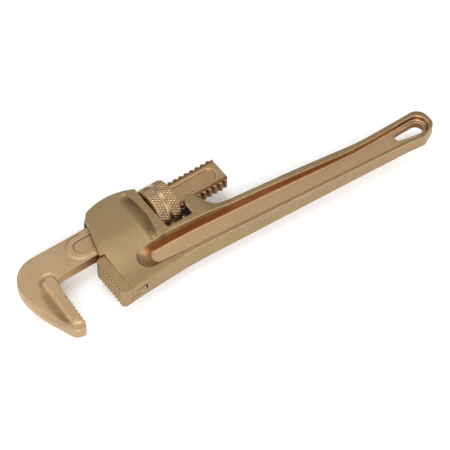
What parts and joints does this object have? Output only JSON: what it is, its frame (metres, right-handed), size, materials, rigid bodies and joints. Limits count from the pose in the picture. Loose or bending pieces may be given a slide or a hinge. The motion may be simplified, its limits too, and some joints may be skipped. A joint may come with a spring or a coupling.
{
  "type": "pipe wrench",
  "caption": "Straight pipe wrench in cast copper alloy: hook jaw on a threaded shank, knurled adjusting nut, pinned heel jaw and an I-section handle with a hang slot.",
  "frame": {"origin": "on the housing's lower flat face, under the shank's centre line, at the middle of the housing", "axes": "+X along the shank towards the handle's end, +Y towards the wrench's back, +Z out of the upper flat face"},
  "size_m": [0.344, 0.0881, 0.036],
  "materials": {
    "handle_casting": "fine machined flats on a cast copper-alloy body",
    "hook_casting": "satin cast and tumbled copper alloy",
    "nut_alloy": "knurled copper alloy",
    "heel_alloy": "machined copper alloy",
    "pin_alloy": "turned copper alloy",
    "spring_steel": "rolled spring strip"
  },
  "bodies": {
    "handle": {"handle_body": "handle_casting", "heel_jaw": "heel_alloy", "heel_jaw_pin": "pin_alloy", "back_leaf_spring": "spring_steel", "back_spring_rivet": "spring_steel", "front_spring_rivet": "spring_steel"},
    "floating_guide": {"front_leaf_spring": "spring_steel"},
    "nut": {"adjusting_nut": "nut_alloy"},
    "hook": {"hook_jaw": "hook_casting"}
  },
  "joints": [
    {"name": "jaw_rock", "type": "hinge", "parent": "handle", "child": "floating_guide", "pos_m": [0.0293, -0.016, 0.011], "axis": [0, 0, 1], "range_deg": [-3, 0], "stiffness_Nm_per_rad": 3, "springref_deg": 8.59, "deforming": ["front_leaf_spring", "back_leaf_spring"]},
    {"name": "jaw_slide", "type": "slide", "parent": "floating_guide", "child": "hook", "axis": [1, 0, 0], "range_m": [-0.02, 0.0312]},
    {"name": "nut_spin", "type": "hinge", "parent": "floating_guide", "child": "nut", "pos_m": [0.0387, 0, 0.011], "axis": [1, 0, 0], "range_deg": [-2250, 1442]}
  ],
  "couplings": [
    {"joint": "nut_spin", "follows": "jaw_slide", "rad_per_m": -1256.6}
  ]
}
